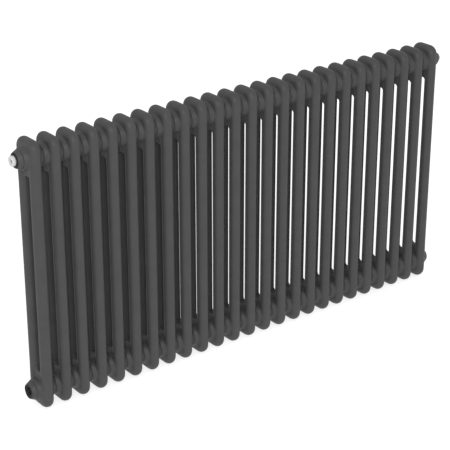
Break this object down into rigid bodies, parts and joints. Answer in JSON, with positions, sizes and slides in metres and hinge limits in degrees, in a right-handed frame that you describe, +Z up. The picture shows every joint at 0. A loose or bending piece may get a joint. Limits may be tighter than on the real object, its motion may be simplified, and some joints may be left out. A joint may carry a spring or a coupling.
{
  "type": "column radiator with air vent valve",
  "caption": "Low, wide steel column radiator: front and rear upright tubes joined by rounded heads and hubs, with a small chrome air vent valve at one upper end and open threaded ports below.",
  "frame": {"origin": "middle of the base: centred along the row and front to back, at the lowest point of the bottom heads", "axes": "+X along the row of sections, away from the air vent; the front faces -Y and the wall side +Y; +Z up"},
  "size_m": [1.162, 0.069, 0.6],
  "materials": {
    "painted_steel": "satin anthracite powder coat",
    "bare_iron": "as cast, oiled",
    "flat_gasket": "matt",
    "chrome_plate": "polished",
    "black_rubber": "matt",
    "vent_brass": "turned"
  },
  "bodies": {
    "root": {"section_01": "painted_steel", "section_02": "painted_steel", "section_03": "painted_steel", "section_04": "painted_steel", "section_05": "painted_steel", "section_06": "painted_steel", "section_07": "painted_steel", "section_08": "painted_steel", "section_09": "painted_steel", "section_10": "painted_steel", "section_11": "painted_steel", "section_12": "painted_steel", "section_13": "painted_steel", "section_14": "painted_steel", "section_15": "painted_steel", "section_16": "painted_steel", "section_17": "painted_steel", "section_18": "painted_steel", "section_19": "painted_steel", "section_20": "painted_steel", "section_21": "painted_steel", "section_22": "painted_steel", "section_23": "painted_steel", "section_24": "painted_steel", "section_25": "painted_steel", "top_joining_nipples": "bare_iron", "bottom_joining_nipples": "bare_iron", "top_joint_gaskets": "flat_gasket", "bottom_joint_gaskets": "flat_gasket", "top_left_bushing_gasket": "flat_gasket", "top_right_bushing_gasket": "flat_gasket", "bottom_left_bushing_gasket": "flat_gasket", "bottom_right_bushing_gasket": "flat_gasket", "top_left_bushing": "painted_steel", "top_right_bushing": "painted_steel", "bottom_left_bushing": "painted_steel", "bottom_right_bushing": "painted_steel", "air_vent_body": "chrome_plate", "blanking_plug": "chrome_plate", "air_vent_o_ring": "black_rubber", "blanking_plug_o_ring": "black_rubber"},
    "bleed_pad": {"air_vent_seat_pad": "black_rubber"},
    "bleed_spindle": {"air_vent_spindle": "vent_brass"}
  },
  "joints": [
    {"name": "bleed_spindle_travel", "type": "slide", "parent": "root", "child": "bleed_pad", "axis": [-1, 0, 0], "range_m": [0, 0.0015]},
    {"name": "bleed_spindle_turn", "type": "hinge", "parent": "bleed_pad", "child": "bleed_spindle", "pos_m": [-0.572, 0, 0.56], "axis": [-1, 0, 0], "range_deg": [0, 540]}
  ],
  "couplings": [
    {"joint": "bleed_spindle_turn", "follows": "bleed_spindle_travel", "rad_per_m": 6283}
  ]
}
